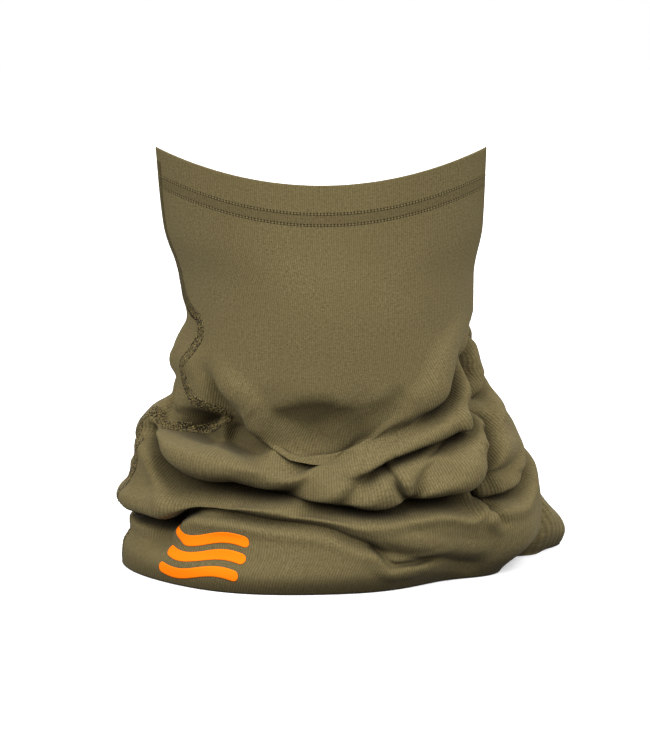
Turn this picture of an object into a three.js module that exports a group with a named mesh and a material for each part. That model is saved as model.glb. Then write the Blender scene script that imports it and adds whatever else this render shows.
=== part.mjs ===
// A stretch neck gaiter standing on its lower edge, slouched the way it sits around a neck.
// One panel of fine jersey is closed into a tube by a flatlock side seam. Both ends are turned
// in as hems and held by a cover stitch: two needle threads outside and a looper thread inside.
// The lower hem is tucked under the standing edge. Three wave-shaped prints sit low on the front.
// Millimetres, +Z up, +X to the wearer's left, -Y to the front. The origin is on the floor, under
// the middle of the outer box.

import * as THREE from "three";

// Driving sizes.
const HEIGHT = 250;
const CLOTH = 2;
const CLEARANCE = 0.5;
const THREAD = 0.6;
const HEM_DEPTH = 24;
const NEEDLE_GAP = 6.4;
const STITCH_WIDTH = 1;
const FRONT_DIP = 19;
const BACK_DIP = 29;
const TUCK_WIDTH = 34;
const TUCK_RISE = 5;
const SEAM_WIDTH = 5.2;
const SEAM_START = 8;
const COLUMN_COUNT = 48;

const TAU = Math.PI * 2;

// Reach of the standing tube from its axis at each height. A corner of 0 is an ellipse and
// a corner of 1 is a lens with a pointed end at either side.
const SECTIONS = [
  { height: 0, left: -132, right: 121, front: -77, back: 79, corner: 0 },
  { height: 12, left: -134, right: 122, front: -81, back: 83, corner: 0 },
  { height: 28, left: -124, right: 124, front: -76, back: 78, corner: 0 },
  { height: 40, left: -139, right: 121, front: -80, back: 82, corner: 0 },
  { height: 58, left: -132, right: 116, front: -73, back: 75, corner: 0 },
  { height: 72, left: -129, right: 107, front: -72, back: 74, corner: 0 },
  { height: 88, left: -125, right: 103, front: -64, back: 67, corner: 0.05 },
  { height: 103, left: -106, right: 89, front: -60, back: 57, corner: 0.1 },
  { height: 120, left: -105, right: 85, front: -66, back: 54, corner: 0.15 },
  { height: 134, left: -104, right: 79, front: -67, back: 51, corner: 0.2 },
  { height: 150, left: -96, right: 75, front: -66, back: 49, corner: 0.35 },
  { height: 175, left: -100, right: 76, front: -63, back: 49, corner: 0.6 },
  { height: 205, left: -109, right: 81, front: -58, back: 50, corner: 0.8 },
  { height: 250, left: -112, right: 83, front: -52, back: 52, corner: 0.95 },
];

// Rolls of slack cloth, as ridges that run from one turn and height to another. Turns are in
// degrees: 0 is the right side, 90 the back, 180 the left side and 270 the front.
const ROLLS = [
  { from: [180, 92], to: [268, 66], reach: 7, width: 11 },
  { from: [262, 68], to: [352, 132], reach: 7, width: 10 },
  { from: [270, 52], to: [358, 72], reach: 6, width: 8 },
  { from: [178, 46], to: [262, 44], reach: 5, width: 7 },
  { from: [200, 54], to: [322, 26], reach: 5, width: 7 },
  { from: [40, 78], to: [150, 96], reach: 6, width: 11 },
  { from: [20, 46], to: [120, 58], reach: 6, width: 10 },
  { from: [90, 30], to: [175, 52], reach: 5, width: 9 },
  { from: [2, 10], to: [34, 18], reach: 18, width: 16 },
];

// The side seam's route from the floor up: it leans forward over the slack cloth.
const SEAM_ROUTE = [
  { height: 8, turn: 186 },
  { height: 74, turn: 188 },
  { height: 100, turn: 202 },
  { height: 134, turn: 206 },
  { height: 165, turn: 188 },
  { height: 222, turn: 184 },
];

// The printed waves: rows one above the other around the same middle.
const WAVE_TURN = 234;
const WAVE_LENGTH = 54;
const WAVE_THICKNESS = 6.5;
const WAVE_SWING = 2.2;
const WAVE_ROWS = [
  { name: "print_wave_upper", height: 34 },
  { name: "print_wave_middle", height: 23 },
  { name: "print_wave_lower", height: 12 },
];
const WAVE_COLUMNS = 18;
const WAVE_ROW_COUNT = 4;

// Rows of the jersey's wall: close together over the slack cloth, wide apart over the smooth top.
const WALL_HEIGHTS = [
  0, 6, 12, 20, 28, 34, 40, 46, 52, 58, 65, 72, 80, 88, 95, 103, 111, 120, 127, 134, 142, 150,
  162, 175, 190, 205, HEIGHT - HEM_DEPTH, HEIGHT - HEM_DEPTH / 2, HEIGHT,
];

const JERSEY = new THREE.MeshStandardMaterial({ color: 0x776a47, roughness: 0.9 });
const SEWING_THREAD = new THREE.MeshStandardMaterial({ color: 0x6b5f3c, roughness: 0.7 });
const PRINT = new THREE.MeshStandardMaterial({ color: 0xfe8608, roughness: 0.6 });

const SECTION_KEYS = ["left", "right", "front", "back", "corner"];
const sectionCurve = new THREE.CubicInterpolant(
  SECTIONS.map((section) => section.height),
  SECTIONS.flatMap((section) => SECTION_KEYS.map((key) => section[key])),
  SECTION_KEYS.length,
);

const seamCurve = new THREE.CubicInterpolant(
  SEAM_ROUTE.map((point) => point.height),
  SEAM_ROUTE.map((point) => THREE.MathUtils.degToRad(point.turn)),
  1,
);

// How far the rolls push the cloth outward at one turn and height.
function rollReach(turn, height) {
  const degrees = THREE.MathUtils.euclideanModulo(THREE.MathUtils.radToDeg(turn), 360);
  let reach = 0;
  for (const roll of ROLLS) {
    const along = (degrees - roll.from[0]) / (roll.to[0] - roll.from[0]);
    if (along > 0 && along < 1) {
      const ridge = THREE.MathUtils.lerp(roll.from[1], roll.to[1], along);
      const offset = (height - ridge) / roll.width;
      reach += roll.reach * Math.sin(Math.PI * along) * Math.exp(-offset * offset);
    }
  }
  return reach;
}

// The tube's outer surface. The plain surface leaves the rolls out.
function surface(turn, height, plain = false) {
  const [left, right, front, back, corner] = sectionCurve.evaluate(height);
  const middle = (left + right) / 2;
  const sine = Math.sin(turn);
  const bulge = Math.abs(sine) ** (1 + corner);
  const depth = sine < 0 ? front : back;
  const reach = plain ? 0 : rollReach(turn, height);
  const rise = THREE.MathUtils.smoothstep(height, 140, HEIGHT);
  const dip = rise * (sine < 0 ? FRONT_DIP : BACK_DIP) * sine * sine;
  return new THREE.Vector3(
    middle + ((right - left) / 2 + reach) * Math.cos(turn),
    depth * bulge + reach * sine,
    height - dip,
  );
}

// The outward direction, level with the floor.
function outward(turn, height, plain) {
  const step = 0.02;
  const along = surface(turn + step, height, plain).sub(surface(turn - step, height, plain));
  return new THREE.Vector3(along.y, -along.x, 0).normalize();
}

function skin(turn, height, offset, plain = false) {
  return surface(turn, height, plain).addScaledVector(outward(turn, height, plain), offset);
}

// A point on the flat faces of the jersey's wall, so that threads and prints clear them evenly.
function onWall(turn, height, wallOffset, lift) {
  const cell = (turn / TAU) * COLUMN_COUNT;
  const column = Math.floor(cell);
  const across = cell - column;
  const row = WALL_HEIGHTS.findLastIndex((level) => level <= height);
  const up = (height - WALL_HEIGHTS[row]) / (WALL_HEIGHTS[row + 1] - WALL_HEIGHTS[row]);
  const corner = (i, j) => skin(((column + i) / COLUMN_COUNT) * TAU, WALL_HEIGHTS[row + j], wallOffset);
  const side = across > up ? corner(1, 0) : corner(0, 1);
  const start = corner(0, 0);
  const end = corner(1, 1);
  const small = Math.min(across, up);
  const large = Math.max(across, up);
  return start
    .multiplyScalar(1 - large)
    .addScaledVector(side, large - small)
    .addScaledVector(end, small)
    .addScaledVector(outward(turn, height), lift);
}

function mesh(name, positions, indices, material) {
  const geometry = new THREE.BufferGeometry();
  geometry.setAttribute("position", new THREE.Float32BufferAttribute(positions, 3));
  geometry.setIndex(indices);
  geometry.computeVertexNormals();
  const piece = new THREE.Mesh(geometry, material);
  piece.name = name;
  return piece;
}

// A ring-shaped solid. Each rail is a function of the turn, and together the rails run once
// around the wall's own section, out along the outside and back along the inside.
function ringSolid(name, rails, material) {
  const positions = [];
  const indices = [];
  for (const rail of rails) {
    for (let column = 0; column < COLUMN_COUNT; column += 1) {
      const point = rail((column / COLUMN_COUNT) * TAU);
      positions.push(point.x, point.y, point.z);
    }
  }
  for (let row = 0; row < rails.length; row += 1) {
    const above = (row + 1) % rails.length;
    for (let column = 0; column < COLUMN_COUNT; column += 1) {
      const next = (column + 1) % COLUMN_COUNT;
      const a = row * COLUMN_COUNT + column;
      const b = row * COLUMN_COUNT + next;
      const c = above * COLUMN_COUNT + next;
      const d = above * COLUMN_COUNT + column;
      indices.push(a, b, c, a, c, d);
    }
  }
  return mesh(name, positions, indices, material);
}

// A strip-shaped solid with square ends. Each station holds the four corners of the strip's
// section, and the stations follow one another along the strip.
function stripSolid(name, stations, material) {
  const positions = stations.flatMap((corners) => corners.flatMap((point) => point.toArray()));
  const indices = [];
  for (let station = 0; station < stations.length - 1; station += 1) {
    for (let side = 0; side < 4; side += 1) {
      const next = (side + 1) % 4;
      const a = station * 4 + side;
      const b = station * 4 + next;
      indices.push(a, b, b + 4, a, b + 4, a + 4);
    }
  }
  const last = (stations.length - 1) * 4;
  indices.push(0, 2, 1, 0, 3, 2);
  indices.push(last, last + 1, last + 2, last, last + 2, last + 3);
  return mesh(name, positions, indices, material);
}

// The tucked hem lies inside the standing edge and lifts off the floor towards its free edge.
function tuckRail(inset, height) {
  return (turn) => {
    const point = skin(turn, 0, -inset, true);
    point.z = height;
    return point;
  };
}

function jerseyTube() {
  const outside = WALL_HEIGHTS.map((height) => (turn) => skin(turn, height, 0));
  const inside = WALL_HEIGHTS.slice(1)
    .reverse()
    .map((height) => (turn) => skin(turn, height, -CLOTH));
  const tuck = [
    tuckRail(CLOTH + 3, CLOTH + 1),
    tuckRail(TUCK_WIDTH / 2, CLOTH + TUCK_RISE / 2),
    tuckRail(TUCK_WIDTH, CLOTH + TUCK_RISE),
    tuckRail(TUCK_WIDTH, TUCK_RISE),
    tuckRail(TUCK_WIDTH / 2, TUCK_RISE / 2),
    tuckRail(CLOTH + 6, 0),
  ];
  return ringSolid("jersey_tube", [...outside, ...inside, ...tuck], JERSEY);
}

// A thread laid around the tube as a flat band on the outside or the inside of the wall.
function wallBand(name, height, width, near, far) {
  const outer = Math.max(near, far);
  const inner = Math.min(near, far);
  const rails = [
    (turn) => skin(turn, height - width / 2, outer),
    (turn) => skin(turn, height + width / 2, outer),
    (turn) => skin(turn, height + width / 2, inner),
    (turn) => skin(turn, height - width / 2, inner),
  ];
  return ringSolid(name, rails, SEWING_THREAD);
}

// A thread laid around the tucked hem, above or below its cloth.
function tuckBand(name, inset, width, lift) {
  const slope = TUCK_RISE / TUCK_WIDTH;
  const rails = [
    tuckRail(inset - width / 2, lift + slope * (inset - width / 2)),
    tuckRail(inset - width / 2, lift + slope * (inset - width / 2) + THREAD),
    tuckRail(inset + width / 2, lift + slope * (inset + width / 2) + THREAD),
    tuckRail(inset + width / 2, lift + slope * (inset + width / 2)),
  ];
  return ringSolid(name, rails, SEWING_THREAD);
}

function topHemThreads() {
  const lower = HEIGHT - HEM_DEPTH;
  const upper = lower + NEEDLE_GAP;
  const near = CLEARANCE;
  const far = CLEARANCE + THREAD;
  const middle = (lower + upper) / 2;
  return [
    wallBand("top_hem_needle_thread_upper", upper, STITCH_WIDTH, near, far),
    wallBand("top_hem_needle_thread_lower", lower, STITCH_WIDTH, near, far),
    wallBand("top_hem_looper_thread", middle, NEEDLE_GAP, -CLOTH - near, -CLOTH - far),
  ];
}

function bottomHemThreads() {
  const inner = TUCK_WIDTH - 6;
  const outer = inner - NEEDLE_GAP;
  const under = -CLEARANCE - THREAD;
  const over = CLOTH + CLEARANCE;
  return [
    tuckBand("bottom_hem_needle_thread_inner", inner, STITCH_WIDTH, under),
    tuckBand("bottom_hem_needle_thread_outer", outer, STITCH_WIDTH, under),
    tuckBand("bottom_hem_looper_thread", (inner + outer) / 2, NEEDLE_GAP, over),
  ];
}

// A thread of the side seam: a strip that climbs the tube between two distances across the seam.
function seamStrip(name, fromAcross, toAcross, wallOffset, near, far) {
  const high = HEIGHT - HEM_DEPTH - NEEDLE_GAP / 2;
  const rows = WALL_HEIGHTS.filter((height) => height > SEAM_START && height < high);
  const stations = [];
  for (const height of [SEAM_START, ...rows, high]) {
    const [turn] = seamCurve.evaluate(height);
    const span = surface(turn + 0.01, height).distanceTo(surface(turn - 0.01, height));
    const perMillimetre = 0.02 / span;
    const from = turn + fromAcross * perMillimetre;
    const to = turn + toAcross * perMillimetre;
    stations.push([
      onWall(from, height, wallOffset, near),
      onWall(from, height, wallOffset, far),
      onWall(to, height, wallOffset, far),
      onWall(to, height, wallOffset, near),
    ]);
  }
  return stripSolid(name, stations, SEWING_THREAD);
}

function sideSeamThreads() {
  const edge = SEAM_WIDTH / 2;
  const inset = edge - STITCH_WIDTH;
  const near = CLEARANCE;
  const far = CLEARANCE + THREAD;
  return [
    seamStrip("side_seam_needle_thread_back", -edge, -inset, 0, near, far),
    seamStrip("side_seam_cover_thread", -inset + 0.4, inset - 0.4, 0, near, far),
    seamStrip("side_seam_needle_thread_front", inset, edge, 0, near, far),
    seamStrip("side_seam_looper_thread", -edge, edge, -CLOTH, -far, -near),
  ];
}

// A slab that follows the wall. The place function gives the turn and height of each grid point.
function slabSolid(name, columns, rows, place, material) {
  const positions = [];
  const indices = [];
  for (const lift of [CLEARANCE, CLEARANCE + THREAD]) {
    for (let row = 0; row <= rows; row += 1) {
      for (let column = 0; column <= columns; column += 1) {
        const [turn, height] = place(column / columns, row / rows);
        positions.push(...onWall(turn, height, 0, lift).toArray());
      }
    }
  }
  const layer = (columns + 1) * (rows + 1);
  const index = ([column, row, far]) => far * layer + row * (columns + 1) + column;
  const quad = (...corners) => {
    const [a, b, c, d] = corners.map(index);
    indices.push(a, b, c, a, c, d);
  };
  for (let row = 0; row < rows; row += 1) {
    for (let column = 0; column < columns; column += 1) {
      const right = column + 1;
      quad([column, row, 1], [right, row, 1], [right, row + 1, 1], [column, row + 1, 1]);
      quad([column, row, 0], [column, row + 1, 0], [right, row + 1, 0], [right, row, 0]);
    }
    quad([0, row, 0], [0, row, 1], [0, row + 1, 1], [0, row + 1, 0]);
    quad([columns, row, 0], [columns, row + 1, 0], [columns, row + 1, 1], [columns, row, 1]);
  }
  for (let column = 0; column < columns; column += 1) {
    const right = column + 1;
    quad([column, 0, 0], [right, 0, 0], [right, 0, 1], [column, 0, 1]);
    quad([column, rows, 0], [column, rows, 1], [right, rows, 1], [right, rows, 0]);
  }
  return mesh(name, positions, indices, material);
}

// One printed wave.
function printWave({ name, height }) {
  const middle = THREE.MathUtils.degToRad(WAVE_TURN);
  const span = surface(middle + 0.01, height).distanceTo(surface(middle - 0.01, height));
  const turnLength = (WAVE_LENGTH * 0.02) / span;
  const place = (along, across) => [
    middle + (along - 0.5) * turnLength,
    height + WAVE_SWING * Math.sin(TAU * along) + (across - 0.5) * WAVE_THICKNESS,
  ];
  return slabSolid(name, WAVE_COLUMNS, WAVE_ROW_COUNT, place, PRINT);
}

const gaiter = new THREE.Group();
gaiter.name = "neck_gaiter";
gaiter.add(jerseyTube());
gaiter.add(...topHemThreads());
gaiter.add(...bottomHemThreads());
gaiter.add(...sideSeamThreads());
gaiter.add(...WAVE_ROWS.map(printWave));

// Stand the outer box over the origin.
const box = new THREE.Box3().setFromObject(gaiter);
const centre = box.getCenter(new THREE.Vector3());
gaiter.position.set(-centre.x, -centre.y, -box.min.z);

export default gaiter;
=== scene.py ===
"""A stretch neck gaiter: a jersey tube that stands on its lower edge, smooth over the face and
slouched in folds below. The tube is one sheet, built column by column: each column runs from the
free edge of the tucked lower hem, over the fold on the floor, up the wall and over the rim into
the turned top hem. Folds are drawn on the wall as strokes, and each stroke pushes the cloth into
a roll that hangs over a crease. Threads and prints are laid on the finished cloth."""

import math

import bpy
import numpy as np
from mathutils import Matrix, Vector


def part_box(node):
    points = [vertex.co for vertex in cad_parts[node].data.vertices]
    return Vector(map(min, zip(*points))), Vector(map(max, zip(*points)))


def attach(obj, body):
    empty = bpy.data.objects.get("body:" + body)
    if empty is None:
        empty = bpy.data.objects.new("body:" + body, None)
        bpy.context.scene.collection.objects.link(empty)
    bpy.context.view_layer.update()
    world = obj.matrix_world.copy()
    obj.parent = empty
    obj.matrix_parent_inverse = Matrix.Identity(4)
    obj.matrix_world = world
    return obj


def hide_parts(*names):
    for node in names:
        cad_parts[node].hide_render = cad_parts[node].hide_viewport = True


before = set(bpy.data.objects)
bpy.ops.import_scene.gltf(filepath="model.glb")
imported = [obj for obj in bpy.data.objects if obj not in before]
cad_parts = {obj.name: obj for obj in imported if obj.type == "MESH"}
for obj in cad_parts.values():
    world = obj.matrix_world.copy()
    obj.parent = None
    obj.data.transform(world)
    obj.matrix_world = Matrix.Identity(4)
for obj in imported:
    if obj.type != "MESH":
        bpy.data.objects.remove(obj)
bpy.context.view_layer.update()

# ---------------------------------------------------------------- sizes

# The shape is drawn in millimetres on a tube of this height.
DRAWN_HEIGHT = 250
tube_low, tube_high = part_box("jersey_tube")
MM = (tube_high[2] - tube_low[2]) / DRAWN_HEIGHT

CLOTH = 0.7 * MM
CUT_WIDTH = 600 * MM

# How finely the wall is cut: columns around, rows while the folds are made, rows in the end.
COLUMNS = 560
DENSE_ROWS = 900
WALL_ROWS = 380

# The rim is level at its two corners and dips between them, more at the back.
RIM_DIP_START = 140
RIM_DIP_FRONT = 19 * MM
RIM_DIP_BACK = 29 * MM

# The two needle rows of the top hem, measured down the cloth from the rim.
NEEDLE_GAUGE = 6.4 * MM
HEM_LOWER_ROW = 22.2 * MM
HEM_UPPER_ROW = HEM_LOWER_ROW - NEEDLE_GAUGE
HEM_MIDDLE = (HEM_UPPER_ROW + HEM_LOWER_ROW) / 2
HEM_INSIDE = 26 * MM
HEM_INSIDE_ROWS = 14
HEM_STITCHES = 260

# The lower hem is tucked inwards over the floor, and its free edge rises a little.
TUCK_ROWS = 13
TUCK_WIDTH = 34 * MM
TUCK_BEND = 2.5 * MM
TUCK_LEAD = 1.2 * MM
TUCK_RISE = 5 * MM

# Reach of the smooth tube from its axis, in millimetres: height, left, right, front, back, and
# how pointed the section is at its sides, from 0 for an ellipse to 1 for a lens.
SECTIONS = [
    (0, -134, 112, -77, 78, 0),
    (12, -133, 117, -80, 82, 0),
    (22, -128, 120, -79, 81, 0),
    (32, -127, 121, -78, 80, 0),
    (41, -133, 121, -78, 80, 0),
    (58, -128, 118, -74, 76, 0),
    (72, -126, 110, -72, 73, 0),
    (86, -122, 104, -67, 68, 0.05),
    (95, -115, 98, -66, 64, 0.08),
    (104, -102, 92, -66, 60, 0.12),
    (120, -99, 85, -67.5, 55, 0.2),
    (134, -96, 81, -67, 52, 0.3),
    (150, -95, 79, -66, 50, 0.42),
    (175, -97, 79, -63, 50, 0.6),
    (205, -106, 84, -58, 50, 0.8),
    (250, -110, 85.5, -52, 52, 0.95),
]

# Each fold is a name, its depth, its roll's reach, how soft its lip is from 0 to 1, the widths of
# its roll and of the cloth that it disturbs beyond the crease, and its path. The path goes through
# (turn in degrees, height in millimetres, strength, gap in millimetres). The turn is 180 at the
# left side, 270 at the front, 360 at the right and 90 at the back. The path is the line of the
# roll's lip. The roll lies to its left and the open crease, as wide as the gap, to its right: a
# path from left to right has its roll above.
FOLDS = [
    ("left roll", 17, 7, 0.5, 34, 10, [
        (190, 84, 0, 2), (199, 81, 1, 4), (207, 76, 0.9, 5), (213, 71, 1, 8), (219, 66, 1, 10),
        (226, 62, 1, 11), (234, 60, 1, 10), (242, 61, 1, 9), (250, 61.5, 0.9, 9), (257, 62, 0.9, 8),
        (264, 64, 0.6, 5), (268, 67, 0.45, 3), (272, 71, 0.4, 2), (276, 75, 0.4, 2), (285, 83, 0.4, 2),
        (292, 90, 0.2, 2), (298, 95, 0, 2),
    ]),
    ("cheek to shoulder", 15, 5, 0.4, 24, 8, [
        (284, 80, 0, 2), (290, 86, 0.2, 2), (300, 94, 0.4, 2), (308, 101, 0.8, 4), (316, 110, 1.1, 7),
        (323, 120, 1, 7), (331, 128, 0.6, 5), (341, 135, 0.3, 3), (351, 143, 0, 2),
    ]),
    ("second crease", 13, 4, 0.3, 12, 9, [
        (264, 56, 0, 2), (271, 59, 0.3, 2), (279, 65.5, 0.7, 3), (287, 73, 0.9, 4), (298, 80, 0.9, 4),
        (307, 85, 1, 8), (315, 89, 1, 8), (323, 93, 0, 4),
    ]),
    ("dimple", 9, 2.5, 0.6, 7, 8, [
        (285, 75, 0, 2), (288, 66, 0.8, 3), (290, 61, 1, 3), (294, 66, 1, 3), (299, 71, 1, 4),
        (305, 75, 0.9, 5), (310, 79, 0.7, 4), (316, 82, 0, 2),
    ]),
    ("overhang", 20, 7, 0.35, 20, 8, [
        (240, 55, 0, 1), (252, 53, 0.6, 1.5), (264, 50, 0.8, 2), (272, 48, 0.8, 2), (280, 46, 0.8, 2.5),
        (286, 47, 0.8, 4), (293, 50, 0.9, 6), (301, 54, 1.1, 10), (310, 57, 1.2, 17),
        (318, 58, 1.1, 11), (326, 60, 0.6, 6), (336, 62, 0.35, 3), (346, 63, 0.2, 2), (354, 63, 0, 2),
    ]),
    ("lowest fold", 14, 5, 0.35, 16, 9, [
        (164, 38, 0, 3), (174, 36, 1, 4), (185, 35, 1.2, 5), (195, 36, 1.2, 6), (205, 37, 1, 7),
        (213, 38, 1.2, 9), (219, 38, 1.3, 8), (225, 41, 1.1, 4), (231, 43, 0.9, 2.5), (242, 43, 0.7, 2),
        (254, 41, 0.6, 2), (264, 39, 0.5, 2), (269, 37, 0.45, 2), (274, 32, 0.4, 2), (280, 27, 0.35, 2),
        (288, 22, 0.3, 3), (297, 18, 0.25, 3), (306, 14, 0.2, 2), (314, 11, 0.2, 2), (322, 9, 0, 2),
    ]),
    ("panel edge", 7, 2, 0.2, 9, 7, [
        (308, 19, 0, 2), (300, 17, 0.3, 2), (293, 14, 0.5, 2), (288, 14, 0.6, 2), (284, 18, 0.6, 2),
        (281, 24, 0.5, 2), (278, 30, 0, 2),
    ]),
    ("left cheek", 13, 3, 0.5, 20, 9, [
        (212, 128, 0, 2), (218, 119, 0.3, 3), (224, 112, 0.7, 6), (230, 107, 1, 13), (236, 102, 1, 17),
        (242, 97, 1, 15), (248, 91, 1.1, 12), (256, 84, 1.3, 9), (264, 79, 1.3, 7), (271, 78, 0.8, 4),
        (278, 80, 0, 2),
    ]),
    ("above left roll", 15, 3, 0.25, 13, 18, [
        (252, 78, 0, 3), (246, 80, 0.8, 6), (240, 82, 1.2, 9), (234, 84, 1.4, 12), (229, 85.5, 1.4, 12),
        (222, 88, 1.3, 11), (212, 92, 1.2, 9), (203, 95, 0.7, 6), (188, 97, 0, 3),
    ]),
    ("chin roll", 15, 3, 0.2, 11, 24, [
        (300, 111, 0, 4), (292, 101, 0.3, 8), (286, 94, 0.5, 13), (280, 88, 0.75, 18),
        (274, 84, 0.9, 24), (267, 83, 1, 26), (261, 84, 0.8, 23), (254, 87, 0.6, 16), (246, 93, 0.2, 8),
        (238, 100, 0, 4),
    ]),
    ("cheek gap", 22, 4, 0.2, 10, 12, [
        (317, 88, 0, 4), (320, 93, 1, 7), (323, 100, 1, 11), (329, 108, 1, 15), (333, 118, 1, 15),
        (337, 129, 0.9, 10), (345, 140, 0.4, 4), (352, 148, 0, 2),
    ]),
    ("second layer", 15, 5, 0.5, 12, 12, [
        (303, 56, 0, 2), (311, 63, 0.4, 3), (318, 69, 0.8, 5), (324, 76, 1, 6), (330, 85, 1, 6),
        (337, 96, 1, 5), (345, 102, 1, 4), (353, 108, 0.6, 3), (360, 116, 0, 2),
    ]),
    ("cuff", 18, 5, 0.2, 13, 9, [
        (312, 41, 0, 2), (319, 45, 1, 4), (326, 49, 1.1, 7), (334, 53, 1.1, 10), (342, 58, 1, 9),
        (350, 63, 0.8, 5), (357, 69, 0.4, 3), (364, 77, 0, 2),
    ]),
    ("pocket edge", 12, 4, 0.2, 10, 8, [
        (325, 31, 0, 2), (321, 37, 0.7, 2), (318, 42, 1, 3), (316, 49, 1, 3), (315, 56, 0.6, 3),
        (315, 60, 0, 2),
    ]),
    ("right edge", 20, 3, 0.2, 14, 10, [
        (361, -4, 1, 3), (362, 10, 1, 3), (364, 22, 1, 3), (366, 32, 0.9, 2), (367, 44, 0, 2),
    ]),
    ("back high", 15, 6, 0.4, 30, 11, [
        (8, 120, 0, 2), (28, 110, 0.8, 3), (58, 97, 1, 5), (90, 88, 1, 3), (120, 91, 1, 4),
        (148, 97, 0.8, 3), (170, 95, 0, 2),
    ]),
    ("back middle", 16, 6, 0.3, 24, 10, [
        (18, 82, 0, 2), (36, 72, 0.9, 3), (66, 66, 1, 7), (94, 70, 0.8, 3), (118, 65, 1, 5),
        (150, 62, 1, 3), (174, 67, 0.5, 2), (190, 72, 0, 2),
    ]),
    ("back low", 14, 6, 0.3, 20, 10, [
        (26, 46, 0, 2), (46, 40, 1, 5), (78, 42, 1, 3), (108, 36, 1, 6), (138, 41, 1, 3),
        (160, 44, 0.6, 2), (172, 44, 0, 2),
    ]),
    ("back lowest", 9, 4, 0.3, 14, 8, [
        (56, 20, 0, 2), (78, 15, 0.8, 2), (104, 20, 1, 3), (130, 16, 0.8, 2), (152, 12, 0, 2),
    ]),
    ("back slant", 9, 3, 0.4, 18, 9, [
        (92, 138, 0, 1), (106, 124, 0.7, 2), (120, 110, 0.9, 3), (134, 94, 0.7, 2), (146, 82, 0, 2),
    ]),
    ("back right", 10, 4, 0.4, 18, 9, [
        (352, 152, 0, 1), (364, 138, 0.6, 2), (380, 126, 0.9, 3), (402, 120, 0.8, 2), (426, 124, 0, 1),
    ]),
    ("back left", 8, 3, 0.4, 16, 9, [
        (146, 130, 0, 1), (160, 122, 0.8, 2), (176, 116, 0.6, 2), (190, 111, 0, 1),
    ]),
]

# Broad swells and hollows: turn, height, spread in turn, spread in height, reach.
SWELLS = [
    (17, 4, 8, 26, 36),
    (219, 99, 7, 9, -10),
    (214, 27, 6, 9, -10),
    (246, 0, 22, 26, 5),
    (309, 0, 18, 24, -12),
    (334, 24, 10, 14, 4),
    (269, 88, 20, 18, -3),
    (188, 37, 12, 6, -14),
    (348, 0, 14, 9, -14),
    (205, 126, 9, 9, 3),
    (183, 130, 16, 12, 5),
    (180, 151, 12, 7, -3),
]

# ---------------------------------------------------------------- the smooth tube


def smooth_curve(places, values, at, level_ends=False):
    """A curve through the values that never swings past them."""
    places, values = np.asarray(places, float), np.asarray(values, float)
    gaps = np.diff(places)
    rises = np.diff(values) / gaps
    slopes = np.zeros_like(values)
    same_way = rises[1:] * rises[:-1] > 0
    safe = np.where(same_way, rises[1:] + rises[:-1], 1)
    slopes[1:-1] = np.where(same_way, 2 * rises[1:] * rises[:-1] / safe, 0)
    if not level_ends:
        slopes[0], slopes[-1] = rises[0], rises[-1]
    cell = np.clip(np.searchsorted(places, at) - 1, 0, len(places) - 2)
    t = np.clip((at - places[cell]) / gaps[cell], 0, 1)
    return (
        (1 + 2 * t) * (1 - t) ** 2 * values[cell]
        + t * (1 - t) ** 2 * gaps[cell] * slopes[cell]
        + t * t * (3 - 2 * t) * values[cell + 1]
        + t * t * (t - 1) * gaps[cell] * slopes[cell + 1]
    )


def smoothstep(low, high, at):
    t = np.clip((at - low) / (high - low), 0, 1)
    return t * t * (3 - 2 * t)


def unit(vectors):
    return vectors / np.maximum(np.linalg.norm(vectors, axis=-1, keepdims=True), 1e-12)


def smooth_tube(turn, height):
    """Points of the tube without folds. The turn is in radians and the height in millimetres."""
    turn, height = np.broadcast_arrays(np.asarray(turn, float), np.asarray(height, float))
    table = np.array(SECTIONS, float)
    left, right, front, back, corner = (
        smooth_curve(table[:, 0], table[:, i], height.ravel()).reshape(height.shape) for i in range(1, 6)
    )
    sine = np.sin(turn)
    depth = np.where(sine < 0, -front, back)
    dip = np.where(sine < 0, RIM_DIP_FRONT, RIM_DIP_BACK)
    x = (left + right) / 2 + (right - left) / 2 * np.cos(turn)
    y = depth * np.sign(sine) * np.abs(sine) ** (1 + corner)
    z = height * MM - smoothstep(RIM_DIP_START, DRAWN_HEIGHT, height) * dip * sine**2
    return np.stack([x * MM, y * MM, z], axis=-1)


def outward(turn, height):
    """The level direction that points away from the tube. The turn is in radians."""
    step = 0.03
    along = smooth_tube(turn + step, height) - smooth_tube(turn - step, height)
    return unit(np.stack([along[..., 1], -along[..., 0], np.zeros_like(along[..., 0])], axis=-1))


SPACING_HEIGHT = 60.0
SPACING_SAMPLES = 4001


def even_turns():
    """Column turns that are evenly spaced around the slack part of the tube."""
    fine = np.linspace(0, 2 * math.pi, SPACING_SAMPLES)
    ring = smooth_tube(fine, SPACING_HEIGHT)
    walked = np.concatenate([[0], np.cumsum(np.linalg.norm(np.diff(ring, axis=0), axis=1))])
    return np.interp(np.arange(COLUMNS) / COLUMNS * walked[-1], walked, fine)


# ---------------------------------------------------------------- folds


def smooth_path(points, count):
    """A smooth line through given points."""
    points = np.array(points, float)
    steps = np.concatenate([[0], np.cumsum(np.linalg.norm(np.diff(points[:, :2], axis=0), axis=1))])
    at = np.linspace(0, steps[-1], count)
    return np.stack([smooth_curve(steps, points[:, i], at) for i in range(points.shape[1])], axis=-1)


PROFILE_POINTS = 120
FOLD_STEPS = 120
FOLD_END_FADE = (4, 10)
WALL_PASSES = 6


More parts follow.
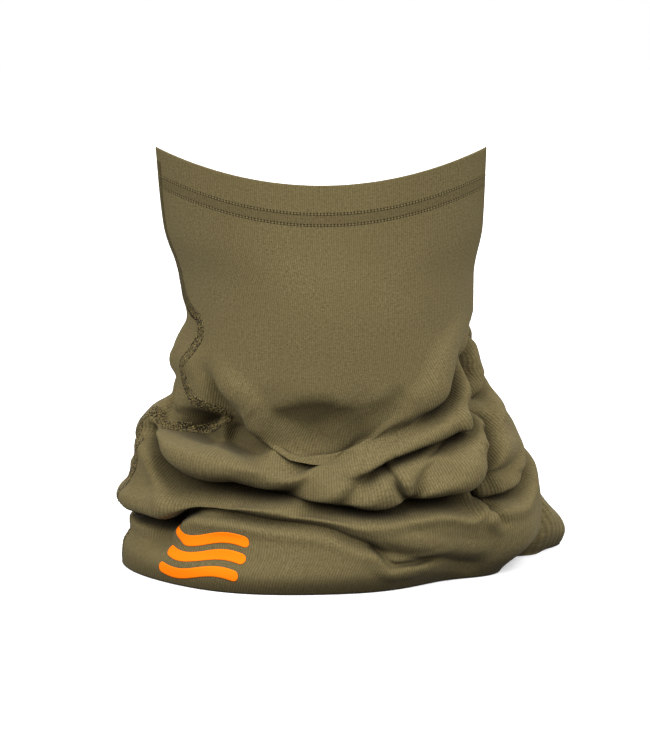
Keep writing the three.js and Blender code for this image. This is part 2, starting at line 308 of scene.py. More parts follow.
def fold_profile(depth, reach, soft, above, below, gap):
    """The section of one fold, as outward moves and moves along, evenly spaced across it."""
    tuck = 0.12 * depth * (1 - soft)
    # Each knot is a place along the wall, in millimetres above the lip, and a move outwards.
    knots = np.array([
        (-gap - below, 0),
        (-gap - 0.65 * below, 0.12 * reach),
        (-gap - 0.3 * below, 0.2 * reach),
        (-gap - 0.08 * below, -0.04 * depth),
        (-0.85 * gap, -0.35 * depth),
        (-0.4 * gap, -0.8 * depth),
        (tuck, -depth),
        (tuck + 0.02 * above, -0.8 * depth),
        (0.04 * soft * above, -0.45 * depth),
        (0.12 * soft * above - 0.4 * tuck, -0.1 * depth),
        ((0.04 + 0.18 * soft) * above - 0.4 * tuck, 0.5 * reach),
        ((0.14 + 0.2 * soft) * above, 0.88 * reach),
        ((0.32 + 0.15 * soft) * above, reach),
        ((0.58 + 0.08 * soft) * above, 0.85 * reach),
        (0.85 * above, 0.25 * reach),
        (above, 0),
    ])
    walked = np.concatenate([[0], np.cumsum(np.linalg.norm(np.diff(knots, axis=0), axis=1))])
    at = np.linspace(0, walked[-1], PROFILE_POINTS)
    along = smooth_curve(walked, knots[:, 0], at)
    out = smooth_curve(walked, knots[:, 1], at, level_ends=True)
    return out, along - np.linspace(-gap - below, above, PROFILE_POINTS)


def add_fold(points, moves, normals, fold):
    """Add one fold's moves to the wall's points."""
    _, depth, reach, soft, above, below, path = fold
    path = smooth_path(path, FOLD_STEPS)
    turn, height, strength, gap = np.radians(path[:, 0]), path[:, 1], path[:, 2], path[:, 3]
    line = smooth_tube(turn, height)
    tangent = unit(np.gradient(line, axis=0))
    sideways = unit(np.cross(outward(turn, height), tangent))
    margin = max(above, below + gap.max()) * MM
    low, high = line.min(axis=0) - margin, line.max(axis=0) + margin
    near = np.nonzero(np.all((points > low) & (points < high), axis=-1))
    spots = points[near]
    closest = ((line**2).sum(axis=-1)[None, :] - 2 * spots @ line.T).argmin(axis=1)
    offset = spots - line[closest]
    across = (offset * sideways[closest]).sum(axis=-1) / MM
    beyond = np.abs((offset * tangent[closest]).sum(axis=-1)) / MM
    sections = np.array([fold_profile(depth, reach, soft, above, below, width) for width in gap])
    start = -below - gap[closest]
    place = np.clip((across - start) / (above - start), 0, 0.9999) * (PROFILE_POINTS - 1)
    index = place.astype(int)
    share = place - index
    here, following = sections[closest, :, index], sections[closest, :, index + 1]
    out, along = (here * (1 - share)[:, None] + following * share[:, None]).T
    amount = strength[closest] * (1 - smoothstep(*FOLD_END_FADE, beyond)) * MM
    moves[near] += (out * amount)[:, None] * normals[near] + (along * amount)[:, None] * sideways[closest]


def add_swell(moves, normals, turns, heights, swell):
    """Push the wall outwards, or inwards where the reach is negative, around one place."""
    turn, height, turn_spread, height_spread, reach = swell
    apart = (np.degrees(turns) - turn + 180) % 360 - 180
    bump = np.exp(-((apart / turn_spread) ** 2) - ((heights - height) / height_spread) ** 2)
    moves += (reach * MM * bump)[..., None] * normals


def soften(grid, passes, weight=0.5):
    """Smooth a grid of points that closes on itself in its first direction."""
    for _ in range(passes):
        around = (np.roll(grid, 1, axis=0) + np.roll(grid, -1, axis=0)) / 2
        inner = grid[:, 1:-1]
        level = (grid[:, :-2] + grid[:, 2:]) / 2
        grid = grid.copy()
        grid[:, 1:-1] = inner + weight * ((around[:, 1:-1] + level) / 2 - inner)
    return grid


def folded_wall():
    """The turn of each column, its points from the floor to the rim, their heights on the smooth
    tube, and its length."""
    turns = even_turns()[:, None]
    heights = np.linspace(0, DRAWN_HEIGHT, DENSE_ROWS)[None, :]
    turns, heights = np.broadcast_arrays(turns, heights)
    points = smooth_tube(turns, heights)
    normals = outward(turns, heights)
    moves = np.zeros_like(points)
    for fold in FOLDS:
        add_fold(points, moves, normals, fold)
    for swell in SWELLS:
        add_swell(moves, normals, turns, heights, swell)
    points = points + moves
    points[..., 2] = np.maximum(points[..., 2], CLOTH / 2)
    points = soften(points, WALL_PASSES)
    wall = np.empty((COLUMNS, WALL_ROWS, 3))
    wall_heights = np.empty((COLUMNS, WALL_ROWS))
    lengths = np.empty(COLUMNS)
    for column in range(COLUMNS):
        steps = np.linalg.norm(np.diff(points[column], axis=0), axis=1)
        walked = np.concatenate([[0], np.cumsum(steps)])
        at = np.linspace(0, walked[-1], WALL_ROWS)
        for axis in range(3):
            wall[column, :, axis] = np.interp(at, walked, points[column, :, axis])
        wall_heights[column] = np.interp(at, walked, heights[column])
        lengths[column] = walked[-1]
    return turns[:, 0], soften(wall, 1), wall_heights, lengths


turns, wall, wall_heights, wall_lengths = folded_wall()


def grid_normals(grid):
    around = np.roll(grid, -1, axis=0) - np.roll(grid, 1, axis=0)
    upward = np.gradient(grid, axis=1)
    return unit(np.cross(around, upward))


wall_normals = grid_normals(wall)


def sample(grid, column, row):
    """Values between the grid's points. The column wraps around."""
    column, row = np.broadcast_arrays(np.asarray(column, float), np.asarray(row, float))
    row = np.clip(row, 0, grid.shape[1] - 1.001)
    c, r = np.floor(column).astype(int), np.floor(row).astype(int)
    across, up = column - c, row - r
    if grid.ndim == 3:
        across, up = across[..., None], up[..., None]
    c, n = c % COLUMNS, (c + 1) % COLUMNS
    low = grid[c, r] * (1 - across) + grid[n, r] * across
    high = grid[c, r + 1] * (1 - across) + grid[n, r + 1] * across
    return low * (1 - up) + high * up


def column_at(turn_degrees):
    """The column, with its fraction, that stands at a turn."""
    stretched = np.concatenate([turns, [turns[0] + 2 * math.pi]])
    turn = np.radians(np.asarray(turn_degrees, float)) % (2 * math.pi)
    return np.interp(turn, stretched, np.arange(COLUMNS + 1))


def row_below_rim(column, distance):
    """The row that lies this far down the cloth from the rim."""
    length = np.interp(column, np.arange(COLUMNS), wall_lengths, period=COLUMNS)
    return (1 - distance / length) * (WALL_ROWS - 1)


def row_at_height(column, height):
    """The row where the smooth tube's height is reached in a column."""
    column, height = np.broadcast_arrays(np.asarray(column, float), np.asarray(height, float))
    rows = np.empty(column.shape)
    for i in np.ndindex(column.shape):
        c = int(round(float(column[i]))) % COLUMNS
        rows[i] = np.interp(height[i], wall_heights[c], np.arange(WALL_ROWS))
    return rows


def on_cloth(column, row, lift=0.0):
    """Points on the folded wall, or off it along its normals."""
    normal = unit(sample(wall_normals, column, row))
    return sample(wall, column, row) + np.asarray(lift)[..., None] * normal


# ---------------------------------------------------------------- mesh helpers


def add_object(name, points, faces, material, corner_uvs=None, smooth=True):
    """A mesh object. The cloth coordinates, if it has any, are given for each corner of each face."""
    mesh = bpy.data.meshes.new(name)
    mesh.from_pydata(points.tolist(), [], faces.tolist())
    mesh.update()
    mesh.polygons.foreach_set("use_smooth", [smooth] * len(mesh.polygons))
    if corner_uvs is not None:
        layer = mesh.uv_layers.new(name="cloth")
        layer.data.foreach_set("uv", corner_uvs.ravel())
    mesh.materials.append(material)
    piece = bpy.data.objects.new(name, mesh)
    bpy.context.scene.collection.objects.link(piece)
    return piece


def finish_piece(piece, node):
    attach(piece, "root")
    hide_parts(node)
    return piece


def grid_faces(columns, rows, closed):
    """Quads of a grid that is stored column by column."""
    column = np.arange(columns if closed else columns - 1)
    row = np.arange(rows - 1)
    c, r = (a.ravel() for a in np.meshgrid(column, row, indexing="ij"))
    n = (c + 1) % columns
    return np.stack([c * rows + r, n * rows + r, n * rows + r + 1, c * rows + r + 1], axis=-1)


THREAD_SIDES = 6
# A direction close to upright that no stitch runs along.
NEARLY_UP = np.array([0.013, 0.027, 1.0])


def tube_along(line, radius, closed):
    """Points and faces of a round thread along a line."""
    if closed:
        tangent = unit(np.roll(line, -1, axis=0) - np.roll(line, 1, axis=0))
    else:
        tangent = unit(np.gradient(line, axis=0))
    side = unit(np.cross(tangent, NEARLY_UP))
    other = np.cross(tangent, side)
    angles = np.arange(THREAD_SIDES) / THREAD_SIDES * 2 * math.pi
    rings = (
        line[:, None, :]
        + radius * np.cos(angles)[None, :, None] * side[:, None, :]
        + radius * np.sin(angles)[None, :, None] * other[:, None, :]
    )
    count = len(line)
    ring = np.arange(count if closed else count - 1)
    a, b = (v.ravel() for v in np.meshgrid(ring, np.arange(THREAD_SIDES), indexing="ij"))
    near, far = a * THREAD_SIDES, (a + 1) % count * THREAD_SIDES
    beside = (b + 1) % THREAD_SIDES
    faces = np.stack([near + b, near + beside, far + beside, far + b], axis=-1)
    return rings.reshape(-1, 3), faces


def join_tubes(lines, radius, closed):
    """Points and faces of several threads as one mesh."""
    all_points, all_faces, start = [], [], 0
    for line in lines:
        points, faces = tube_along(line, radius, closed)
        all_points.append(points)
        all_faces.append(faces + start)
        start += len(points)
    return np.concatenate(all_points), np.concatenate(all_faces)


# ---------------------------------------------------------------- materials


class Nodes:
    """A short way to write node trees."""

    def __init__(self, name):
        self.material = bpy.data.materials.new(name)
        self.material.use_nodes = True
        self.tree = self.material.node_tree
        self.shader = self.tree.nodes["Principled BSDF"]

    def put(self, socket, value):
        if isinstance(value, bpy.types.NodeSocket):
            self.tree.links.new(value, socket)
        else:
            socket.default_value = value

    def add(self, kind, values=None, **settings):
        node = self.tree.nodes.new(kind)
        for key, value in settings.items():
            setattr(node, key, value)
        for key, value in (values or {}).items():
            self.put(node.inputs[key], value)
        return node

    def math(self, operation, first, second=0.0):
        return self.add("ShaderNodeMath", {0: first, 1: second}, operation=operation).outputs[0]

    def noise(self, vector, scale, detail=3.0, roughness=0.5):
        values = {"Vector": vector, "Scale": scale, "Detail": detail, "Roughness": roughness}
        return self.add("ShaderNodeTexNoise", values).outputs["Fac"]

    def stretch(self, vector, x, y):
        values = {"Vector": vector, "Scale": (x, y, 1)}
        return self.add("ShaderNodeMapping", values).outputs["Vector"]

    def mix(self, factor, first, second):
        values = {0: factor, 6: first, 7: second}
        return self.add("ShaderNodeMix", values, data_type="RGBA").outputs[2]

    def remap(self, value, low, high, new_low=0.0, new_high=1.0):
        values = {0: value, 1: low, 2: high, 3: new_low, 4: new_high}
        return self.add("ShaderNodeMapRange", values).outputs[0]

    def bump(self, height, strength, distance):
        values = {"Height": height, "Strength": strength, "Distance": distance}
        return self.add("ShaderNodeBump", values).outputs["Normal"]

    def set(self, **values):
        for key, value in values.items():
            self.put(self.shader.inputs[key.replace("_", " ").title()], value)


def srgb(red, green, blue):
    """A display colour, 0 to 255, as the linear colour that a shader takes."""
    parts = []
    for value in (red, green, blue):
        value /= 255
        parts.append(value / 12.92 if value <= 0.04045 else ((value + 0.055) / 1.055) ** 2.4)
    return (*parts, 1.0)


# The knit's pitch across and along the tube, and how far the occlusion reaches that paints shade into the
# creases.
WALE = 1.5 * MM
COURSE = 0.95 * MM
CREASE_SHADE_REACH = 22 * MM
HOLE_DEPTH = 1.5
KNIT_BUMP = 0.0003
THREAD_BUMP = 0.0001
PRINT_BUMP = 0.00012


def needle_holes(nodes, across, up):
    """Rows of small dark holes where the top hem's two needles went in."""
    turns_across = nodes.math("MULTIPLY", across, 2 * math.pi * HEM_STITCHES / CUT_WIDTH)
    hole = nodes.remap(nodes.math("COSINE", turns_across), -0.7, 0.5)
    rows = 0.0
    for row in (HEM_UPPER_ROW, HEM_LOWER_ROW):
        beside = nodes.math("ABSOLUTE", nodes.math("ADD", up, row))
        rows = nodes.math("ADD", rows, nodes.remap(beside, 0.55 * MM, 1.05 * MM, 1, 0))
    return nodes.math("MULTIPLY", hole, rows)


def jersey_material():
    """Heathered knit with ribs, pale streaks, a darker band along the top hem and painted shade inside the
    creases.
    """
    nodes = Nodes("jersey")
    cloth = nodes.add("ShaderNodeUVMap", uv_map="cloth").outputs["UV"]
    parts = nodes.add("ShaderNodeSeparateXYZ", {0: cloth})
    across, up = parts.outputs[0], parts.outputs[1]
    wale = nodes.math("SINE", nodes.math("MULTIPLY", across, 2 * math.pi / WALE))
    course = nodes.math("SINE", nodes.math("MULTIPLY", up, 2 * math.pi / COURSE))
    stitch = nodes.math("MULTIPLY", wale, 0.7)
    stitch = nodes.math("ADD", stitch, nodes.math("MULTIPLY", nodes.math("MULTIPLY", wale, course), 0.3))
    fibre = nodes.noise(cloth, 2600, 3, 0.6)
    heather = nodes.noise(nodes.stretch(cloth, 0.5, 1.0), 1000, 3, 0.7)
    streaks = nodes.noise(nodes.stretch(cloth, 0.06, 1.0), 900, 3, 0.6)
    broad = nodes.noise(cloth, 22, 3)
    colour = nodes.mix(nodes.remap(heather, 0.32, 0.68), srgb(80, 70, 41), srgb(127, 115, 80))
    colour = nodes.mix(nodes.remap(streaks, 0.35, 0.7, 0, 0.4), colour, srgb(120, 107, 72))
    colour = nodes.mix(nodes.remap(broad, 0.3, 0.7, 0, 0.4), colour, srgb(101, 90, 57))
    colour = nodes.mix(nodes.remap(stitch, -1, 1, 0.45, 0.0), colour, srgb(52, 44, 25))
    holes = needle_holes(nodes, across, up)
    # A darker band of cloth between the top hem's two needle rows.
    from_hem = nodes.math("ABSOLUTE", nodes.math("ADD", up, HEM_MIDDLE))
    colour = nodes.mix(nodes.remap(from_hem, 3 * MM, 3.6 * MM, 0.28, 0), colour, srgb(60, 51, 31))
    colour = nodes.mix(nodes.math("MULTIPLY", holes, 0.9), colour, srgb(30, 24, 12))
    height = nodes.math("ADD", nodes.math("MULTIPLY", stitch, 0.6), nodes.math("MULTIPLY", fibre, 0.5))
    height = nodes.math("SUBTRACT", height, nodes.math("MULTIPLY", holes, HOLE_DEPTH))
    # Painted shade: the colour is darkened toward dark brown where ambient occlusion finds the cloth
    # enclosed, in creases and under rolls.
    open_share = nodes.add("ShaderNodeAmbientOcclusion", {"Distance": CREASE_SHADE_REACH}).outputs["AO"]
    colour = nodes.mix(nodes.remap(open_share, 0.2, 0.87), srgb(30, 23, 9), colour)
    nodes.set(base_color=colour, roughness=0.92, normal=nodes.bump(height, 0.7, KNIT_BUMP))
    nodes.shader.inputs["Specular IOR Level"].default_value = 0.12
    nodes.shader.inputs["Sheen Weight"].default_value = 0.08
    nodes.shader.inputs["Sheen Roughness"].default_value = 0.5
    nodes.shader.inputs["Sheen Tint"].default_value = srgb(236, 226, 196)
    return nodes.material


# Below the first height the seam thread has painted light and shade; by the second it has its own colour
# again.
SEAM_SHADE_BELOW = 152 * MM
SEAM_SHADE_ENDS_ABOVE = 166 * MM


def thread_material(name, light, dark, slack=None):
    """Twisted thread. Low on the tube, where it is slack and folded, it may have a painted highlight and
    painted shade mixed at random.
    """
    nodes = Nodes(name)
    place = nodes.add("ShaderNodeTexCoord").outputs["Object"]
    strands = nodes.noise(place, 3000, 2)
    colour = nodes.mix(nodes.remap(strands, 0.3, 0.7), dark, light)
    if slack:
        height = nodes.add("ShaderNodeSeparateXYZ", {0: place}).outputs[2]
        patches = nodes.noise(place, 1100, 2, 0.7)
        painted_light_and_shade = nodes.mix(nodes.remap(patches, 0.46, 0.56), slack[1], slack[0])
        # Painted light and shade on the thread in the folds, fading out above.
        colour = nodes.mix(nodes.remap(height, SEAM_SHADE_BELOW, SEAM_SHADE_ENDS_ABOVE), painted_light_and_shade, colour)
    nodes.set(base_color=colour, roughness=0.6, normal=nodes.bump(strands, 0.4, THREAD_BUMP))
    nodes.shader.inputs["Specular IOR Level"].default_value = 0.2
    nodes.shader.inputs["Sheen Weight"].default_value = 0.08
    return nodes.material


def print_material():
    """Flat orange ink that lets a little of the ribs through."""
    nodes = Nodes("print")
    cloth = nodes.add("ShaderNodeUVMap", uv_map="cloth").outputs["UV"]
    parts = nodes.add("ShaderNodeSeparateXYZ", {0: cloth})
    ribs = nodes.math("SINE", nodes.math("MULTIPLY", parts.outputs[0], 2 * math.pi / WALE))
    grain = nodes.noise(cloth, 1800, 2)
    colour = nodes.mix(nodes.remap(grain, 0.35, 0.65), srgb(247, 118, 4), srgb(251, 124, 8))
    height = nodes.math("ADD", nodes.math("MULTIPLY", ribs, 0.4), grain)
    nodes.set(base_color=colour, roughness=0.75, normal=nodes.bump(height, 0.25, PRINT_BUMP))
    nodes.shader.inputs["Specular IOR Level"].default_value = 0.08
    return nodes.material


JERSEY = jersey_material()
THREAD = thread_material("sewing_thread", srgb(136, 122, 80), srgb(96, 84, 50))
# The seam thread's last two colours are a painted highlight and painted shade for its stretch through the
# folds.
SEAM_THREAD = thread_material(
    "seam_thread", srgb(94, 83, 50), srgb(72, 63, 36), (srgb(128, 112, 66), srgb(30, 24, 10))
)
HEM_THREAD = thread_material("hem_thread", srgb(168, 152, 96), srgb(128, 112, 64))
PRINT = print_material()

# ---------------------------------------------------------------- the jersey


def tucked_hem():
    """Rows of the lower hem, from its free edge to the edge that the tube stands on."""
    edge = wall[:, 0]
    ring = smooth_tube(turns, np.zeros(COLUMNS))
    inward = -outward(turns, np.zeros(COLUMNS))
    rows = []
    for step in range(TUCK_ROWS - 1, 0, -1):
        share = step / (TUCK_ROWS - 1)
        inset = inward * (TUCK_BEND + share * (TUCK_WIDTH - TUCK_BEND))
        blend = smoothstep(0, 0.5, share)
        row = (edge + inset) * (1 - blend) + (ring + inset) * blend
        row[:, 2] = CLOTH / 2 + TUCK_RISE * share**1.5
        rows.append(row)
    lead = edge + inward * TUCK_LEAD
    lead[:, 2] = CLOTH / 2
    return [*rows, lead]


def turned_hem():
    """Rows of the top hem, over the rim and down the inside."""
    top, normal = wall[:, -1], wall_normals[:, -1]
    upward = np.array([0, 0, 1.0])
    rows = []
    for angle in np.radians([45, 90, 135]):
        turn_in = (1 - math.cos(angle)) * CLOTH
        rows.append(top - normal * turn_in + upward * math.sin(angle) * CLOTH)
    columns = np.arange(COLUMNS)
    for share in np.linspace(0, 1, HEM_INSIDE_ROWS):
        depth = -2 * CLOTH * (1 - 0.5 * share**6)
        rows.append(on_cloth(columns, row_below_rim(columns, share * HEM_INSIDE), depth))
    return rows


def cloth_coordinates(grid):
    """The sheet laid flat: around it, and up it from the rim, which is at zero."""
    steps = np.linalg.norm(np.diff(grid, axis=1), axis=2)
    walked = np.concatenate([np.zeros((COLUMNS, 1)), np.cumsum(steps, axis=1)], axis=1)
    walked -= walked[:, TUCK_ROWS + WALL_ROWS - 1, None]
    across = np.arange(COLUMNS)[:, None] / COLUMNS * CUT_WIDTH
    return np.stack([np.broadcast_to(across, walked.shape), walked], axis=-1).reshape(-1, 2)


def jersey_piece(grid):
    rows = grid.shape[1]
    faces = grid_faces(COLUMNS, rows, True)
    uvs = cloth_coordinates(grid)[faces.ravel()]
    last_column = np.repeat(np.arange(len(faces)) // (rows - 1) == COLUMNS - 1, 4)
    uvs[last_column & (uvs[:, 0] < CUT_WIDTH / 2), 0] += CUT_WIDTH
    piece = add_object("jersey_tube_cloth", grid.reshape(-1, 3), faces, JERSEY, uvs)
    return finish_piece(piece, "jersey_tube")


tuck_rows = np.stack(tucked_hem(), axis=1)
jersey = jersey_piece(np.concatenate([tuck_rows, wall, np.stack(turned_hem(), axis=1)], axis=1))

# ---------------------------------------------------------------- threads

THREAD_RADIUS = 0.22 * MM
STITCH_SAMPLES = 8
TUCK_STITCH = 2.2 * MM
TUCK_INNER_ROW = 28 * MM
TUCK_OUTER_ROW = TUCK_INNER_ROW - NEEDLE_GAUGE
TUCK_MIDDLE = (TUCK_INNER_ROW + TUCK_OUTER_ROW) / 2
TUCK_LOOPER_LIFT = 0.4 * MM
# How far in from the standing edge the length of the lower hem's rows is measured.
TUCK_MEASURED_AT = 25 * MM


def lay_threads(name, node, lines, radius, material, closed):
    points, faces = join_tubes(lines, radius, closed)
    return finish_piece(add_object(name, points, faces, material), node)


def hem_columns():
    """Places along the top hem's stitches: the column, and the stitch with its fraction."""
    stitches = np.arange(HEM_STITCHES * STITCH_SAMPLES) / STITCH_SAMPLES
    return stitches / HEM_STITCHES * COLUMNS, stitches


def top_needle_row(distance):
    """A thread that bows up over each stitch and dives into the cloth between stitches."""
    columns, stitches = hem_columns()
    lift = THREAD_RADIUS * (2.4 * np.abs(np.sin(np.pi * stitches)) - 1.7)
    return on_cloth(columns, row_below_rim(columns, distance), lift)


def top_looper_row():
    """A thread that swings between the two needle rows, on the inside."""
    columns, stitches = hem_columns()
    swing = 0.5 + 0.5 * np.sin(2 * np.pi * stitches)
    distance = HEM_LOWER_ROW + (HEM_UPPER_ROW - HEM_LOWER_ROW) * swing
    return on_cloth(columns, row_below_rim(columns, distance), -3 * CLOTH)


threads = [
    lay_threads(
        f"top_hem_needle_stitches_{place}", f"top_hem_needle_thread_{place}",
        [top_needle_row(distance)], THREAD_RADIUS, THREAD, True,
    )
    for place, distance in (("upper", HEM_UPPER_ROW), ("lower", HEM_LOWER_ROW))
]
threads.append(
    lay_threads(
        "top_hem_looper_stitches", "top_hem_looper_thread",
        [top_looper_row()], THREAD_RADIUS, THREAD, True,
    )
)


def tuck_points(columns, insets, lift):
    """Points on the tucked hem, at a distance in from the standing edge."""
    floor_rows = np.concatenate([tuck_rows, wall[:, :1]], axis=1)[:, ::-1]
    from_edge = np.linalg.norm(floor_rows[..., :2] - wall[:, :1, :2], axis=2)
    points = np.empty((len(columns), 3))
    for i, (column, inset) in enumerate(zip(columns, insets)):
        here = int(column) % COLUMNS
        beside = (here + 1) % COLUMNS
        share = column - int(column)
        near, far = (
            np.array([np.interp(inset, from_edge[c], floor_rows[c, :, axis]) for axis in range(3)])
            for c in (here, beside)
        )
        points[i] = near * (1 - share) + far * share
    points[:, 2] += lift
    return points


def tuck_columns():
    """Places along the lower hem's stitches: the column, and the stitch with its fraction."""
    fine = np.arange(COLUMNS * 2 + 1) / 2
    line = tuck_points(fine, np.full(len(fine), TUCK_MEASURED_AT), 0)
    walked = np.concatenate([[0], np.cumsum(np.linalg.norm(np.diff(line, axis=0), axis=1))])
    count = round(walked[-1] / TUCK_STITCH) * STITCH_SAMPLES
    return np.interp(np.arange(count) / count * walked[-1], walked, fine), np.arange(count) / STITCH_SAMPLES


columns, stitches = tuck_columns()
wave = THREAD_RADIUS * (1.5 * np.abs(np.sin(np.pi * stitches)) ** 0.5 - 0.75)
for place, inset in (("inner", TUCK_INNER_ROW), ("outer", TUCK_OUTER_ROW)):
    threads.append(
        lay_threads(
            f"bottom_hem_needle_stitches_{place}", f"bottom_hem_needle_thread_{place}",
            [tuck_points(columns, np.full(len(columns), inset), -wave - 0.1 * MM)],
            THREAD_RADIUS, HEM_THREAD, True,
        )
    )
swing = TUCK_MIDDLE + NEEDLE_GAUGE / 2 * np.sin(2 * np.pi * stitches)
threads.append(
    lay_threads(
        "bottom_hem_looper_stitches", "bottom_hem_looper_thread",
        [tuck_points(columns, swing, TUCK_LOOPER_LIFT)], THREAD_RADIUS, HEM_THREAD, True,
    )
)

# The side seam's route up the smooth tube: height in millimetres and turn in degrees.
SEAM_ROUTE = [
    (3, 184), (20, 184), (40, 186), (55, 190), (66, 195), (74, 194), (80, 189), (88, 188),
    (95, 192), (98, 200), (98, 209), (96, 216), (96, 221), (98, 225), (102, 225), (107, 218),
    (112, 209), (118, 203), (124, 202), (130, 205), (136, 208), (143, 211), (150, 210), (158, 199),
    (168, 192), (183, 188), (206, 184), (228, 181), (244, 180.5),
]
SEAM_SAMPLES = 700
SEAM_HALF = 3.0 * MM
# A point beside the seam is reached over the cloth, in this many small steps.
SEAM_WALK = 12
SEAM_STITCH = 2.5 * MM
COVER_RADIUS = 0.28 * MM
COVER_HALF = 0.9 * SEAM_HALF
SEAM_LOOPER_LIFT = -0.3 * MM


def seam_line():
    """Columns and rows of evenly spaced points along the seam, and its length."""
    route = smooth_path(SEAM_ROUTE, SEAM_SAMPLES)
    columns = column_at(route[:, 1])
    rows = row_at_height(columns, route[:, 0])
    line = on_cloth(columns, rows)
    walked = np.concatenate([[0], np.cumsum(np.linalg.norm(np.diff(line, axis=0), axis=1))])
    at = np.linspace(0, walked[-1], SEAM_SAMPLES)
    return np.interp(at, walked, columns), np.interp(at, walked, rows), walked[-1]


seam_columns, seam_rows, seam_length = seam_line()


def seam_points(distance, across, lift):
    """Points beside the seam's line: how far along it, how far across it, how far off the cloth."""
    at = distance / seam_length * (SEAM_SAMPLES - 1)
    index = np.arange(SEAM_SAMPLES)
    column, row = np.interp(at, index, seam_columns), np.interp(at, index, seam_rows)
    along = unit(np.gradient(on_cloth(column, row), axis=0))
    sideways = unit(np.cross(unit(sample(wall_normals, column, row)), along))
    for _ in range(SEAM_WALK):
        column_step = (on_cloth(column + 1, row) - on_cloth(column - 1, row)) / 2
        row_step = (on_cloth(column, row + 1) - on_cloth(column, row - 1)) / 2
        steps = np.stack([column_step, row_step], axis=-1)
        shift = np.einsum("nij,nj->ni", np.linalg.pinv(steps), sideways)
        reach = np.linalg.norm(np.einsum("nij,nj->ni", steps, shift), axis=1)
        column = column + shift[:, 0] / reach * across / SEAM_WALK
        row = row + shift[:, 1] / reach * across / SEAM_WALK
    return on_cloth(column, row, lift)


stitches = np.arange(int(seam_length / SEAM_STITCH) * STITCH_SAMPLES) / STITCH_SAMPLES
distance = stitches * SEAM_STITCH
zigzag = 2 * np.abs((stitches % 1) * 2 - 1) - 1
threads.append(
    lay_threads(
        "side_seam_cover_stitches", "side_seam_cover_thread",
        [
            seam_points(distance, side * zigzag * COVER_HALF, (0.08 + 0.1 * side * zigzag) * MM)
            for side in (-1, 1)
        ],
        COVER_RADIUS, SEAM_THREAD, False,
    )
)
wave = THREAD_RADIUS * (1.6 * np.abs(np.sin(np.pi * stitches)) ** 0.5 - 0.3)
for place, side in (("back", -1), ("front", 1)):
    threads.append(
        lay_threads(
            f"side_seam_needle_stitches_{place}", f"side_seam_needle_thread_{place}",
            [seam_points(distance, side * SEAM_HALF, wave)], THREAD_RADIUS, SEAM_THREAD, False,
        )
    )
threads.append(
    lay_threads(
        "side_seam_looper_stitches", "side_seam_looper_thread",
        [seam_points(distance, zigzag * SEAM_HALF, SEAM_LOOPER_LIFT)], THREAD_RADIUS, SEAM_THREAD, False,
    )
)

# ---------------------------------------------------------------- prints

WAVE_TURN = 233
WAVE_LENGTH = 55 * MM
WAVE_THICKNESS = 6.4 * MM
WAVE_SWING = 2.4 * MM
WAVE_HEIGHTS = (("upper", 29), ("middle", 19.5), ("lower", 10))
WAVE_COLUMNS = 90
WAVE_ROWS = 10
# How much of a wave's thickness is left at its two tips, as a share squared.
WAVE_TIP = 0.005
# The wall row where the spacing of the columns is measured.
WAVE_SPACING_ROW = 20
PRINT_TOP = 0.22 * MM
PRINT_BOTTOM = 0.02 * MM


def grid_outline(columns, rows):
    """The points around the edge of a grid that is stored column by column, in order."""
    count = columns * rows
    first_row = range(0, count, rows)
    last_column = range(count - rows + 1, count)
    last_row = range(count - 1 - rows, rows - 2, -rows)
    first_column = range(rows - 2, 0, -1)
    return np.array([*first_row, *last_column, *last_row, *first_column])


def wave_print(place, height):
    """One wave with rounded ends, printed on the cloth as a thin closed slab."""
    middle = float(column_at(WAVE_TURN))
    spacing = np.linalg.norm(
        sample(wall, middle + 1, WAVE_SPACING_ROW) - sample(wall, middle, WAVE_SPACING_ROW)
    )
    along = np.linspace(-0.5, 0.5, WAVE_COLUMNS)
    end = WAVE_THICKNESS / 2 / WAVE_LENGTH
    into_end = np.clip((np.abs(along) - 0.5 + end) / end, 0, 1)
    half = WAVE_THICKNESS / 2 * np.sqrt(1 - into_end**2 * (1 - WAVE_TIP))
    up = np.linspace(-1, 1, WAVE_ROWS)
    offset = WAVE_SWING * np.sin(2 * math.pi * along)[:, None] + half[:, None] * up[None, :]
    column = np.broadcast_to(middle + along[:, None] * WAVE_LENGTH / spacing, offset.shape)
    first = column[:, :1]
    start = row_at_height(first, height)
    step = np.linalg.norm(sample(wall, first, start + 1) - sample(wall, first, start), axis=-1)
    row = start + offset / step
    sides = [on_cloth(column, row, lift).reshape(-1, 3) for lift in (PRINT_TOP, PRINT_BOTTOM)]
    count = WAVE_COLUMNS * WAVE_ROWS
    skin = grid_faces(WAVE_COLUMNS, WAVE_ROWS, False)
    outline = grid_outline(WAVE_COLUMNS, WAVE_ROWS)
    following = np.roll(outline, -1)
    rim = np.stack([outline, outline + count, following + count, following], axis=-1)
    faces = np.concatenate([skin, skin[:, ::-1] + count, rim])
    uvs = np.stack([column * spacing, row * step], axis=-1).reshape(-1, 2)
    corner_uvs = np.concatenate([uvs, uvs])[faces.ravel()]
    piece = add_object(f"print_{place}_wave", np.concatenate(sides), faces, PRINT, corner_uvs)
    return finish_piece(piece, f"print_wave_{place}")


prints = [wave_print(place, height) for place, height in WAVE_HEIGHTS]

# ---------------------------------------------------------------- floor, light and camera

# The camera sees a white sky and a pale floor that glows a little. To the cloth both are dimmer.
SKY_LIGHT = 0.3
FLOOR_BOUNCE = 0.12
FLOOR_GLOW = 0.18
FLOOR_REACH = 30.0
# A sun's name, the side that it shines from, its spread in degrees and its strength.
SUNS = (
    ("left", (-0.92, -0.77, 0.95), 45, 3.55),
    ("right", (0.92, -0.77, 0.95), 50, 3.25),
    ("back", (0.3, 0.95, 0.6), 80, 2.4),
)
CAMERA_PLACE = (-0.0099, -1.0993, 0.305)
CAMERA_TILT = 9.85
CAMERA_LENS = 88.9
CAMERA_SENSOR = 36


def camera_ray(tree):
    return tree.nodes.new("ShaderNodeLightPath").outputs["Is Camera Ray"]


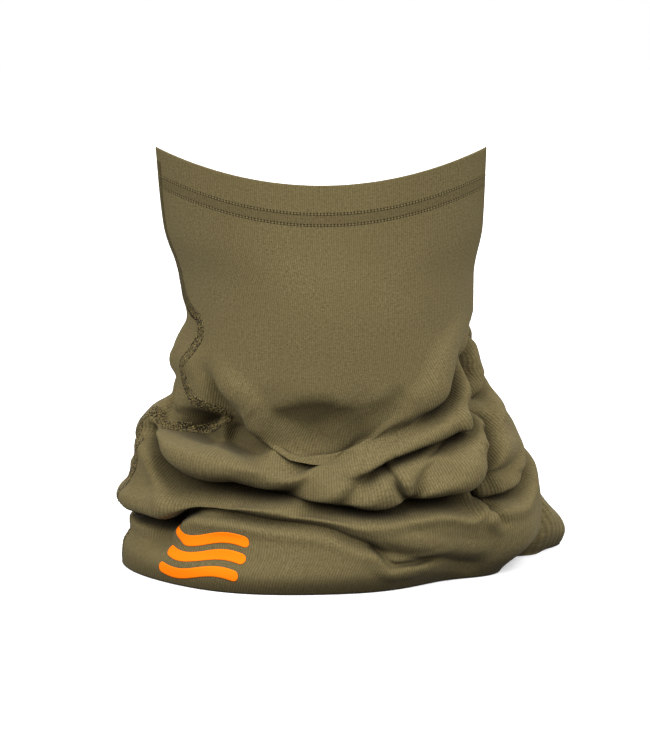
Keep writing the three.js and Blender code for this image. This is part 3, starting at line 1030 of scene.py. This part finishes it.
def stage_floor():
    nodes = Nodes("floor")
    grain = nodes.noise(nodes.add("ShaderNodeTexCoord").outputs["Object"], 30, 3)
    pale = nodes.mix(grain, (0.93, 0.93, 0.94, 1), (0.95, 0.95, 0.96, 1))
    bounced = (FLOOR_BOUNCE, FLOOR_BOUNCE, FLOOR_BOUNCE, 1)
    seen = camera_ray(nodes.tree)
    lit = nodes.mix(seen, (0, 0, 0, 1), (1, 1, 1, 1))
    nodes.set(base_color=nodes.mix(seen, bounced, pale), emission_color=lit, roughness=0.9)
    nodes.shader.inputs["Emission Strength"].default_value = FLOOR_GLOW
    nodes.shader.inputs["Specular IOR Level"].default_value = 0.0
    corners = FLOOR_REACH * np.array([(-1, -1, 0), (1, -1, 0), (1, 1, 0), (-1, 1, 0)])
    floor = add_object("floor", corners, np.array([[0, 1, 2, 3]]), nodes.material, smooth=False)


def soft_sun(name, place, spread, strength):
    light = bpy.data.lights.new(name, "SUN")
    light.angle = math.radians(spread)
    light.energy = strength
    lamp = bpy.data.objects.new(name, light)
    lamp.rotation_euler = Vector(place).to_track_quat("Z", "Y").to_euler()
    bpy.context.scene.collection.objects.link(lamp)


def studio():
    world = bpy.data.worlds.new("studio")
    world.use_nodes = True
    tree = world.node_tree
    seen = camera_ray(tree)
    strength = tree.nodes.new("ShaderNodeMapRange")
    strength.inputs["To Min"].default_value = SKY_LIGHT
    strength.inputs["To Max"].default_value = 1.0
    tree.links.new(seen, strength.inputs["Value"])
    tree.nodes["Background"].inputs["Color"].default_value = (1, 1, 1, 1)
    tree.links.new(strength.outputs["Result"], tree.nodes["Background"].inputs["Strength"])
    bpy.context.scene.world = world
    bpy.context.scene.view_settings.view_transform = "Standard"
    for sun in SUNS:
        soft_sun(*sun)


def camera():
    lens = bpy.data.cameras.new("camera")
    lens.lens = CAMERA_LENS
    lens.sensor_width = CAMERA_SENSOR
    eye = bpy.data.objects.new("camera", lens)
    eye.location = CAMERA_PLACE
    eye.rotation_euler = (math.radians(90 - CAMERA_TILT), 0, 0)
    bpy.context.scene.collection.objects.link(eye)
    bpy.context.scene.camera = eye


stage_floor()
studio()
camera()
